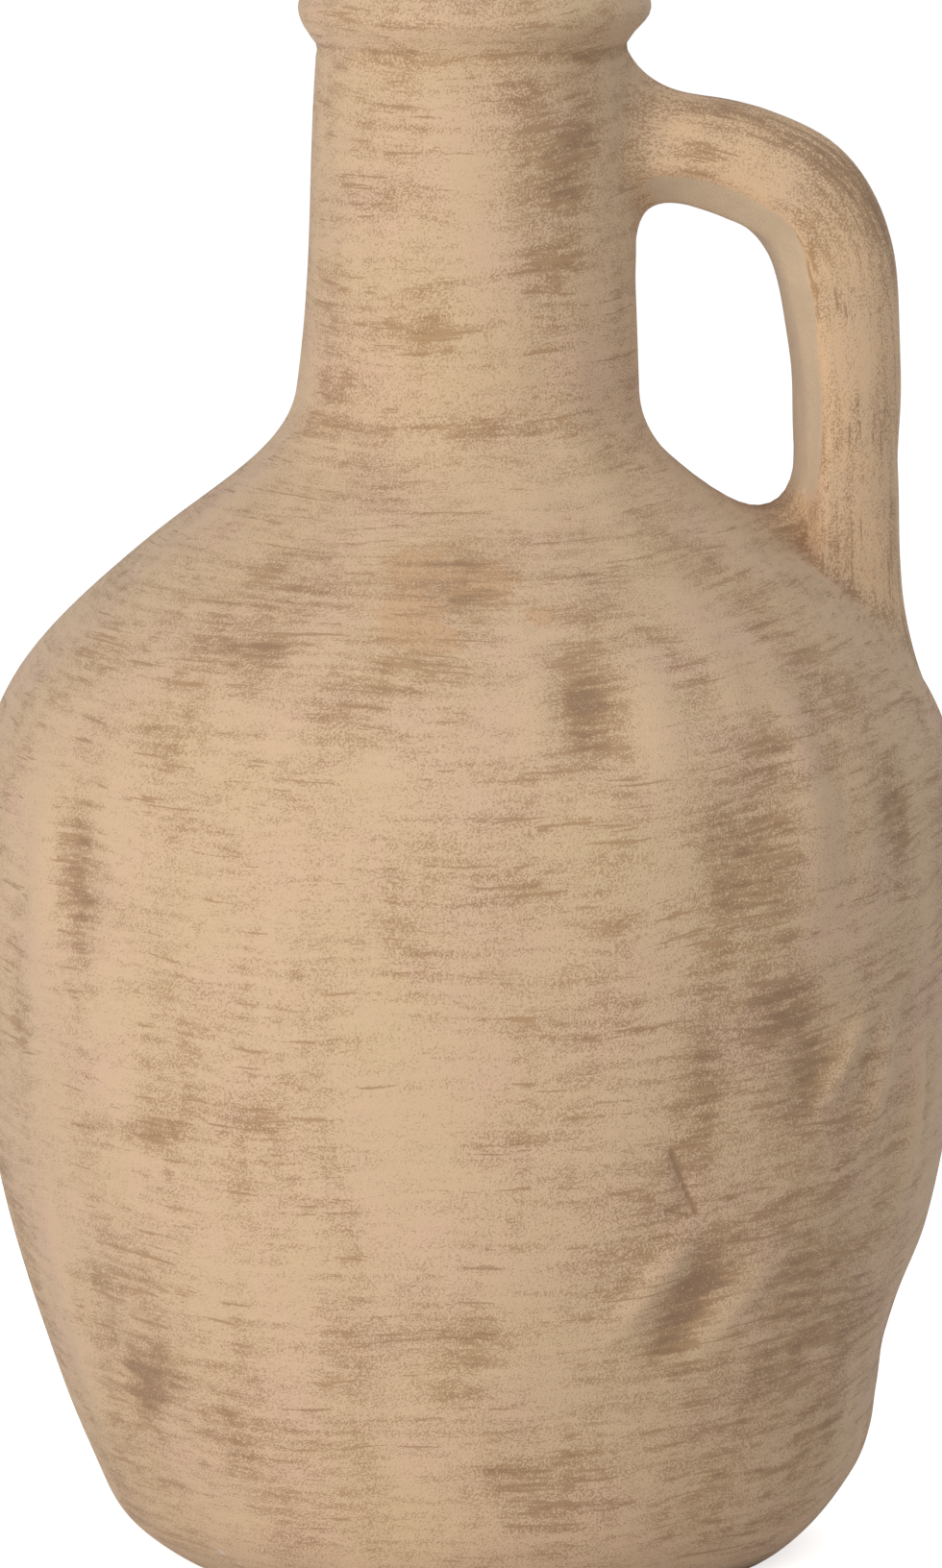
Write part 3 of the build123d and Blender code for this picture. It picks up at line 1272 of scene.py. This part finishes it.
@dataclass
class Neck(TurnedWall):
    """Neck tube and rolled rim."""

    bore_rows: int = 14
    lip_parts: int = 2
    lip_share: float = 0.6
    lip_bare: float = 0.15

    def build(self, finish: bpy.types.Material) -> None:
        """Builds and dresses the neck, then the rim."""
        dress(self.neck_tube(), finish, "neck_tube")
        dress(self.rim_roll(), finish, "rim_roll")

    def neck_tube(self) -> bpy.types.Object:
        """Turns the straight neck, from the shoulder to the groove.

        Returns:
            The piece.
        """
        form = self.form
        outside = form.outer_run(form.neck_foot[1], form.groove)
        low = form.neck_foot[1] - form.bevel
        foot = form.inner_run(form.girth[1] + form.bevel, low)[-1, 0]
        heights = np.linspace(form.groove + form.bevel, low, self.bore_rows)
        radii = np.full(self.bore_rows, form.mouth_radius)
        radii[-1] = foot
        bore = np.column_stack([radii, heights])
        return self.ring("jug_neck_tube", [Run.outside(outside), Run.inside(bore)])

    def rim_roll(self) -> bpy.types.Object:
        """Turns the rolled bead round the mouth.

        Returns:
            The piece.
        """
        form = self.form
        outside = form.outer_run(form.groove, form.rim[1])
        crown = ((form.rim[0] + form.mouth_radius) / 2, form.top)
        lip = (form.mouth_radius, form.top - form.lip_depth)
        step = form.step / self.lip_parts
        over = SmoothPath((form.rim, crown), UPRIGHT, (-1.0, 0.0)).sample(step)
        into = SmoothPath((crown, lip), (-1.0, 0.0), (0.0, -1.0)).sample(step)
        bore = np.array([[form.mouth_radius, form.groove + form.bevel]])
        section = [
            Run.outside(outside),
            Run.outside(over[1:]),
            Run(into[1:], self.lip_share, self.lip_bare),
            Run.inside(bore),
        ]
        return self.ring("jug_rim_roll", section)


@dataclass(frozen=True)
class BarMark:
    """A place on the bar where more or less slip stays, by share of its length and degrees round it."""

    share: float
    angle: float
    long: float
    wide: float
    cover: float

    def weight(self, share: np.ndarray, angle: np.ndarray) -> np.ndarray:
        """Strength of the mark at points of the bar.

        Args:
            share: Shares of the bar's length.
            angle: Degrees round the bar.

        Returns:
            Values from 0 to 1.
        """
        along = (share - self.share) / self.long
        across = (angle - self.angle) / self.wide
        return np.exp(-(along**2) - across**2)


# Marks that the photo shows on the handle's front, from the neck down.
BAR_MARKS = (
    BarMark(0.50, -60, 0.60, 60, 0.03),
    BarMark(0.13, -55, 0.05, 16, 0.08),
    BarMark(0.27, -38, 0.09, 26, -0.40),
    BarMark(0.22, -70, 0.07, 12, 0.14),
    BarMark(0.38, -22, 0.07, 18, -0.38),
    BarMark(0.42, -56, 0.07, 16, 0.06),
    BarMark(0.53, -48, 0.07, 4, -0.30),
    BarMark(0.57, -30, 0.09, 4, -0.26),
    BarMark(0.60, -66, 0.09, 10, 0.12),
    BarMark(0.65, -44, 0.09, 4, -0.30),
    BarMark(0.72, -33, 0.08, 4, -0.28),
    BarMark(0.74, -58, 0.10, 10, 0.10),
    BarMark(0.82, -30, 0.07, 6, -0.28),
    BarMark(0.62, -4, 0.22, 9, -0.20),
    BarMark(0.50, 40, 0.30, 14, -0.14),
    BarMark(0.35, 66, 0.12, 14, 0.16),
)


@dataclass(frozen=True)
class Fillet:
    """Reach of pressed clay on the bar and on the wall, and how tightly it keeps to their corner."""

    on_bar: float
    on_wall: float
    pull: float = 0.58


@dataclass(frozen=True)
class RootClay:
    """Clay pressed round one root of the bar.

    The root lies within a span of the path's end. The fillets are those of the bar's outer side, its
    flanks and its inner side. The wear thins the slip along the crease: partly slip that the brush
    missed there, partly painted shade in the crease.
    """

    span: float
    fillets: tuple[Fillet, Fillet, Fillet]
    wear: float


@dataclass
class Handle:
    """Thick bar from the neck to the shoulder, and the clay pressed round its two roots.

    The path lies in the plane of the handle, as distance from the axis and height. The thickness and
    the inner chamfer are given at shares of the path's length.
    """

    form: WallForm
    path: Pairs = (
        (28.0, 358.1),
        (46.0, 357.3),
        (60.0, 354.9),
        (72.0, 351.0),
        (83.0, 345.0),
        (91.0, 334.2),
        (94.7, 320.0),
        (97.0, 298.0),
        (96.8, 272.0),
        (97.2, 246.0),
        (98.2, 216.0),
    )
    thickness: Pairs = (
        (0.0, 27.0),
        (0.15, 27.2),
        (0.22, 29.5),
        (0.3, 30.2),
        (0.42, 29.6),
        (0.55, 26.8),
        (0.68, 24.9),
        (0.8, 26.6),
        (1.0, 28.6),
    )
    chamfer: Pairs = (
        (0.0, 7.0),
        (0.22, 9.0),
        (0.4, 5.4),
        (0.55, 3.5),
        (0.7, 2.5),
        (1.0, 2.4),
    )
    depth: float = 36.0
    flat: float = 17.0
    round_points: int = 46
    chamfer_points: int = 7
    flat_points: int = 13
    soft_edges: int = 1
    stations: int = 96
    embed: float = 2.5
    band_fade: Pair = (0.66, 0.78)
    band_edge: float = 3.0
    upper: RootClay = RootClay(
        42.0, (Fillet(15.0, 11.0), Fillet(10.0, 8.0), Fillet(17.0, 15.0, 0.66)), 0.35
    )
    lower: RootClay = RootClay(
        66.0, (Fillet(20.0, 13.0), Fillet(7.0, 6.0), Fillet(33.0, 42.0, 0.76)), 1.1
    )
    fillet_points: int = 14
    hidden_fade: tuple[float, ...] = (0.0, 0.5, 1.0)
    sink: float = 0.12
    groove_gap: float = 0.4
    run_out: float = 0.9
    least_rise: float = 0.05
    stroke_fade: Pair = (1.6, 0.3)
    band_end: Pair = (2.0, 0.9)
    first_way: Pair = (1.0, 0.0)
    last_way: Pair = (0.05, -1.0)
    line_step: float = 0.5
    halvings: int = 32
    probe: float = 1.0
    waves: tuple[Triple, ...] = ((0.16, 9.0, 6.0), (0.10, 4.3, -5.0))
    wave_fade: float = 6.0

    def __post_init__(self) -> None:
        """Works out the path's line and the section."""
        self.line = SmoothPath(self.path, self.first_way, self.last_way).sample(self.line_step)
        self.places = lengths_along(self.line)
        self.length = self.places[-1]
        along = unit(np.gradient(self.line, axis=0))
        self.outward = np.column_stack([-along[:, 1], along[:, 0]])
        self.lay_section()

    def lay_section(self) -> None:
        """Lays the section's points: the round outside, both chamfers and the flat inside."""
        turn = np.linspace(-math.pi / 2, math.pi / 2, self.round_points)
        down = np.linspace(0.0, 1.0, self.chamfer_points + 2)[1:]
        level = np.linspace(1.0, -1.0, self.flat_points + 2)[1:-1]
        half_deep, half_flat = self.depth / 2, self.flat / 2
        slant = half_deep + (half_flat - half_deep) * down
        self.swell = np.concatenate([np.cos(turn), np.zeros(2 * len(down) + len(level))])
        self.drop = np.concatenate([np.zeros(len(turn)), down, np.ones(len(level)), down[::-1]])
        self.side = np.concatenate([half_deep * np.sin(turn), slant, half_flat * level, -slant[::-1]])
        for _ in range(self.soft_edges):
            self.side = self.softened(self.side)
        self.count = len(self.side)
        inner = self.count - self.round_points
        under = 90.0 + 180.0 * np.arange(1, inner + 1) / (inner + 1)
        self.angle = (np.concatenate([np.degrees(turn), under]) + 180.0) % 360.0 - 180.0

    @staticmethod
    def softened(values: np.ndarray) -> np.ndarray:
        """Rounds the corners of closed rows of values."""
        return (np.roll(values, 1, -1) + 2 * values + np.roll(values, -1, -1)) / 4

    def build(self, finish: bpy.types.Material) -> None:
        """Builds and dresses the bar and the clay round its roots.

        Args:
            finish: The brushed slip.
        """
        dress(self.bar(), finish, "handle_bar")
        dress(self.root_coil(Root.UPPER), finish, "upper_handle_coil")
        dress(self.root_coil(Root.LOWER), finish, "lower_handle_coil")

    def clay(self, root: Root) -> RootClay:
        """The clay round one root."""
        return self.upper if root is Root.UPPER else self.lower

    def rise(self, place: np.ndarray) -> np.ndarray:
        """Heights of the section's points over the bar's middle line, towards its outer side.

        Args:
            place: Distances along the path, with one column for each point of the section.

        Returns:
            Millimetres, in the same rows and columns.
        """
        share = place / self.length
        thick = np.interp(share, *zip(*self.thickness))
        chamfer = np.interp(share, *zip(*self.chamfer))
        crease = chamfer - thick / 2
        lift = crease + (thick - chamfer) * self.swell - chamfer * self.drop
        for _ in range(self.soft_edges):
            lift = self.softened(lift)
        return lift

    def along_line(self, rows: np.ndarray, place: np.ndarray) -> np.ndarray:
        """Points or directions in the handle's plane at distances along the path.

        Args:
            rows: The values that the path's points have.
            place: The distances.

        Returns:
            Three numbers for each distance.
        """
        x, z = (np.interp(place, self.places, rows[:, i]) for i in (0, 1))
        return np.stack([x, np.zeros_like(x), z], axis=-1)

    def surface(self, place: np.ndarray) -> np.ndarray:
        """Points of the bar's surface.

        Args:
            place: Distances along the path, with one column for each point of the section.

        Returns:
            Points in millimetres, in the same rows and columns.
        """
        rise = self.rise(place)
        wave = sum(deep * np.sin(place / long + self.side / wide) for deep, long, wide in self.waves)
        rise = rise + wave * np.sign(rise) * np.clip(np.abs(rise) / self.wave_fade, 0.0, 1.0)
        middle = self.along_line(self.line, place)
        points = middle + rise[..., None] * self.along_line(self.outward, place)
        points[..., 1] += self.side
        return points

    def outside(self, points: np.ndarray) -> np.ndarray:
        """How far points stand outside the jug's wall, along its radius."""
        wall = self.form.radius(np.degrees(turn_of(points)), points[..., 2])
        return np.hypot(points[..., 0], points[..., 1]) - wall

    def root_places(self, root: Root) -> np.ndarray:
        """Finds where each line of the bar meets the wall.

        Args:
            root: Which root.

        Returns:
            Distances along the path.
        """
        end = 0.0 if root is Root.UPPER else self.length
        inner = np.full(self.count, end)
        outer = np.full(self.count, end + root.value * self.clay(root).span)
        for _ in range(self.halvings):
            middle = (inner + outer) / 2
            free = self.outside(self.surface(middle)) > 0
            outer = np.where(free, middle, outer)
            inner = np.where(free, inner, middle)
        return (inner + outer) / 2

    def bar(self) -> bpy.types.Object:
        """Lofts the bar, with both ends shaped to the wall and set a little into it.

        Returns:
            The piece.
        """
        start = self.root_places(Root.UPPER) - self.embed
        end = self.root_places(Root.LOWER) + self.embed
        place = start + (end - start) * np.linspace(0.0, 1.0, self.stations)[:, None]
        bm = bmesh.new()
        rings = [self.add_ring(bm, row) for row in self.surface(place)]
        self.bridge(bm, rings, closed=False)
        for ring in (rings[0], rings[-1]):
            bmesh.ops.contextual_create(bm, geom=ring)
        made = add_object("jug_handle_bar", bm)
        share = np.ones(len(made.data.vertices))
        self.note(made.data, place.ravel(), share, self.band_share(place).ravel())
        return made

    def band_share(self, place: np.ndarray) -> np.ndarray:
        """Where the smooth band inside the loop lies, which fades before the lower root.

        Args:
            place: Distances along the path, with one column for each point of the section.

        Returns:
            Shares from 0 to 1, in the same rows and columns.
        """
        start, end = self.band_fade
        kept = np.clip((end - place / self.length) / (end - start), 0.0, 1.0)
        return np.clip(self.softened(self.drop) * self.band_edge, 0.0, 1.0) * kept

    def root_coil(self, root: Root) -> bpy.types.Object:
        """Lofts the clay pressed round one root, which runs smoothly from the bar into the wall.

        Args:
            root: Which root.

        Returns:
            The piece.
        """
        place = self.root_places(root)
        bm = bmesh.new()
        rings = [self.add_ring(bm, row) for row in self.coil_rows(root, place)]
        self.bridge(bm, rings, closed=True)
        made = add_object(f"jug_{root.name.lower()}_handle_coil", bm)
        fade = np.concatenate([np.linspace(1.0, 0.0, self.fillet_points), self.hidden_fade])
        places = place + root.value * self.fillet_sizes(root)[0] * fade[:, None]
        steep, start = self.stroke_fade
        share = np.repeat(np.clip(fade * steep - start, 0.0, 1.0), self.count)
        steep, start = self.band_end
        band = self.band_share(places) * np.clip(fade * steep - start, 0.0, 1.0)[:, None]
        self.note(made.data, places.ravel(), share, band.ravel())
        # Painted shade in the crease: the slip thins most halfway across the fillet, partly slip the
        # brush missed, partly shade.
        crease = self.clay(root).wear * share * (1.0 - share)
        set_numbers(made.data, "cover", numbers_of(made.data, "cover") - crease)
        return made

    def coil_rows(self, root: Root, place: np.ndarray) -> list[np.ndarray]:
        """Rings of points over the clay round a root, from the bar to the wall and back inside.

        Args:
            root: Which root.
            place: Where each line of the bar meets the wall.

        Returns:
            The rings.
        """
        away = root.value
        on_bar, on_wall, pull = self.fillet_sizes(root)
        foot = self.surface(place)
        top = self.surface(place + away * on_bar)
        lead = unit(top - self.surface(place + away * (on_bar - self.probe)))
        normal = self.wall_normal(foot)
        middle = self.along_line(self.line, place)
        spread = foot - middle
        spread = unit(spread - np.sum(spread * normal, axis=1)[:, None] * normal)
        rising = np.maximum(spread[:, 2], self.least_rise)
        room = (self.form.groove - self.groove_gap - foot[:, 2]) / rising
        on_wall = np.minimum(on_wall, room)
        low = self.onto_wall(foot + spread * on_wall[:, None])
        flow = unit(low - self.onto_wall(foot + spread * (on_wall * self.run_out)[:, None]))
        first = top - lead * (on_bar * pull)[:, None]
        second = low - flow * (on_wall * pull)[:, None]
        rows = []
        for t in np.linspace(0.0, 1.0, self.fillet_points):
            s = 1.0 - t
            rows.append(s**3 * top + 3 * s * s * t * first + 3 * s * t * t * second + t**3 * low)
        inward = unit(middle - foot) * self.embed
        sunk = normal * self.embed
        return [*rows, low - sunk, foot - sunk + inward, top + inward]

    def fillet_sizes(self, root: Root) -> list[np.ndarray]:
        """Sizes of the pressed clay for each point of the section.

        Args:
            root: Which root.

        Returns:
            Lengths on the bar and on the wall, in millimetres, and the pulls.
        """
        fillets = self.clay(root).fillets
        rise = self.swell - self.drop
        outer = np.clip(rise, 0.0, 1.0) ** 2
        inner = np.clip(-rise, 0.0, 1.0) ** 2 * (1.0 - (self.side / (self.depth / 2)) ** 2)
        shares = (outer, 1.0 - outer - inner, inner)
        made = []
        for size in ("on_bar", "on_wall", "pull"):
            mixed = sum(share * getattr(fillet, size) for share, fillet in zip(shares, fillets))
            made.append(self.softened(self.softened(mixed)))
        return made

    def wall_normal(self, points: np.ndarray) -> np.ndarray:
        """Outward directions of the turned wall.

        Args:
            points: Points on the wall.

        Returns:
            One direction for each point.
        """
        turn = turn_of(points)
        height = points[:, 2]
        above = self.form.plain_radius(height + self.probe)
        fall = (above - self.form.plain_radius(height - self.probe)) / (2 * self.probe)
        return unit(np.stack([np.cos(turn), np.sin(turn), -fall], axis=1))

    def onto_wall(self, points: np.ndarray) -> np.ndarray:
        """Moves points along their radius onto the wall, and sinks them into it a little.

        Args:
            points: Points near the wall.

        Returns:
            The moved points.
        """
        turn = turn_of(points)
        height = np.minimum(points[:, 2], self.form.groove)
        radius = self.form.radius(np.degrees(turn), height) - self.sink
        return np.stack([radius * np.cos(turn), radius * np.sin(turn), height], axis=1)

    @staticmethod
    def add_ring(bm: bmesh.types.BMesh, points: np.ndarray) -> list[bmesh.types.BMVert]:
        """Adds a closed ring of edges and moves it onto given points.

        Args:
            bm: The mesh.
            points: The points, in order.

        Returns:
            The ring's vertices.
        """
        made = bmesh.ops.create_circle(bm, segments=len(points), radius=1.0, cap_ends=False)
        for vertex, point in zip(made["verts"], points):
            vertex.co = point
        return made["verts"]

    @staticmethod
    def ring_edges(ring: list[bmesh.types.BMVert]) -> list[bmesh.types.BMEdge]:
        """Finds the edges round a closed ring.

        Args:
            ring: The ring's vertices.

        Returns:
            The edges.
        """
        inside = set(ring)
        found = []
        for vertex in ring:
            for edge in vertex.link_edges:
                if edge.other_vert(vertex) in inside and edge not in found:
                    found.append(edge)
        return found

    def bridge(self, bm: bmesh.types.BMesh, rings: list[list[bmesh.types.BMVert]], closed: bool) -> None:
        """Joins neighbouring rings with faces.

        Args:
            bm: The mesh.
            rings: The rings in order.
            closed: Whether the last ring joins the first.
        """
        ends = rings[1:] + rings[:1] if closed else rings[1:]
        for first, second in zip(rings, ends):
            bmesh.ops.bridge_loops(bm, edges=self.ring_edges(first) + self.ring_edges(second))

    def note(self, mesh: bpy.types.Mesh, place: np.ndarray, share: np.ndarray, band: np.ndarray) -> None:
        """Notes on each point where the slip's strokes run.

        Args:
            mesh: The piece's mesh, whose points come ring by ring.
            place: Distance of each point along the bar.
            share: How far its strokes follow the bar rather than the wall.
            band: How far it lies on the smooth band inside the loop.
        """
        points = points_of(mesh)
        rings = len(points) // self.count
        side = np.tile(self.side, rings)
        rise = self.rise(place.reshape(rings, self.count)).ravel()
        layer = mesh.attributes.new("bar_place", "FLOAT_VECTOR", "POINT")
        along_bar = np.column_stack([place, side, rise]) * MM
        layer.data.foreach_set("vector", along_bar.astype(np.float32).ravel())
        azimuth = np.degrees(turn_of(points))
        angle = np.tile(self.angle, rings)
        on_bar = sum(mark.cover * mark.weight(place / self.length, angle) for mark in BAR_MARKS)
        on_wall = self.form.cover(azimuth, points[:, 2])
        set_numbers(mesh, "bar_share", share)
        set_numbers(mesh, "band", band)
        set_numbers(mesh, "reach", self.form.reach_at(points[:, 2]) * MM)
        set_numbers(mesh, "cover", on_bar * share + on_wall * (1.0 - share))
        set_numbers(mesh, "bare", np.zeros(len(points)))


@dataclass
class SeamCoils:
    """The coils pressed over the seams inside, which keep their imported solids."""

    nodes: tuple[str, ...] = ("floor_seam_coil", "girth_seam_coil", "neck_seam_coil")

    def dress(self, finish: bpy.types.Material) -> None:
        """Gives the coils their finish.

        Args:
            finish: The bare clay.
        """
        for name in self.nodes:
            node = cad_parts[name]
            for slot in node.material_slots:
                slot.material = finish
            log.info("%s: packed solid kept", name)


@dataclass(frozen=True)
class Lamp:
    """A soft square lamp: its place and the length of its sides in metres, its watts and its colour."""

    name: str
    place: Triple
    size: float
    power: float
    colour: Triple = (1.0, 1.0, 1.0)


@dataclass
class Studio:
    """Pale floor, soft light and the camera at the photo's angle."""

    distance: float = 3.2
    azimuth: float = -9.5
    elevation: float = 8.4
    aim_height: float = 0.19503
    pixel: float = 0.0002433
    sensor: float = 36.0
    floor_radius: float = 9.0
    floor_segments: int = 96
    floor_colour: Colour = (0.9, 0.9, 0.9, 1.0)
    floor_lift: float = 0.72
    ambient: Colour = (0.316, 0.317, 0.330, 1.0)
    lamps: tuple[Lamp, ...] = (
        Lamp("key", (-2.1, -2.05, 0.95), 1.6, 54.5),
        Lamp("top", (0.9, -0.3, 2.3), 1.8, 17.0, (0.92, 0.975, 1.0)),
    )

    def __post_init__(self) -> None:
        """Finds the point that the camera and the lamps face."""
        self.aim = Vector((0.0, 0.0, self.aim_height))

    def build(self) -> None:
        """Builds the studio."""
        self.floor()
        self.world()
        for lamp in self.lamps:
            self.light(lamp)
        self.camera()
        bpy.context.scene.view_settings.view_transform = "Standard"

    def floor(self) -> None:
        """Plain pale floor under the jug."""
        bm = bmesh.new()
        bmesh.ops.create_circle(bm, cap_ends=True, segments=self.floor_segments, radius=self.floor_radius)
        mesh = bpy.data.meshes.new("floor")
        bm.to_mesh(mesh)
        bm.free()
        made = link("floor", mesh)
        graph = Graph(bpy.data.materials.new("pale_floor"))
        seen = graph.add("ShaderNodeLightPath").outputs["Is Camera Ray"]
        inputs = {
            "Base Color": self.floor_colour,
            "Roughness": 1.0,
            "Specular IOR Level": 0.0,
            "Emission Color": WHITE,
            "Emission Strength": graph.math("MULTIPLY", seen, self.floor_lift),
        }
        graph.feed(graph.shader, inputs)
        mesh.materials.append(graph.owner)

    def world(self) -> None:
        """White behind the jug, and an even soft light from all round."""
        graph = Graph(bpy.data.worlds.new("studio"), "Background")
        rays = graph.add("ShaderNodeLightPath").outputs
        seen = graph.math("MAXIMUM", rays["Is Camera Ray"], rays["Is Transmission Ray"])
        graph.feed(graph.shader, {"Color": graph.blend(seen, self.ambient, WHITE)})
        bpy.context.scene.world = graph.owner

    def light(self, lamp: Lamp) -> None:
        """Adds a lamp that faces the jug.

        Args:
            lamp: The lamp.
        """
        data = bpy.data.lights.new(lamp.name, "AREA")
        data.size = lamp.size
        data.energy = lamp.power
        data.color = lamp.colour
        made = link(lamp.name, data)
        made.location = lamp.place
        made.rotation_euler = (self.aim - Vector(lamp.place)).to_track_quat("-Z", "Y").to_euler()

    def camera(self) -> None:
        """Camera whose frame holds the photo's part of the jug."""
        turn, rise = math.radians(self.azimuth), math.radians(self.elevation)
        level = math.cos(rise)
        back = Vector((math.sin(turn) * level, -math.cos(turn) * level, math.sin(rise)))
        data = bpy.data.cameras.new("camera")
        data.sensor_fit = "AUTO"
        data.sensor_width = self.sensor
        data.lens = self.sensor * self.distance / (max(IMAGE_SIZE) * self.pixel)
        made = link("camera", data)
        made.location = self.aim + back * self.distance
        made.rotation_euler = (-back).to_track_quat("-Z", "Y").to_euler()
        bpy.context.scene.camera = made


def main() -> None:
    """Builds the jug piece by piece, then the studio."""
    logging.basicConfig(level=logging.INFO, format="%(name)s: %(message)s")
    form = WallForm()
    slip = SlipFinish()
    on_wall = slip.material(Ground.WALL)
    on_handle = slip.material(Ground.HANDLE)
    Body(form).build(on_wall)
    Neck(form).build(on_wall)
    Handle(form).build(on_handle)
    SeamCoils().dress(BareFinish().material())
    Studio().build()


if __name__ == "__main__":
    main()
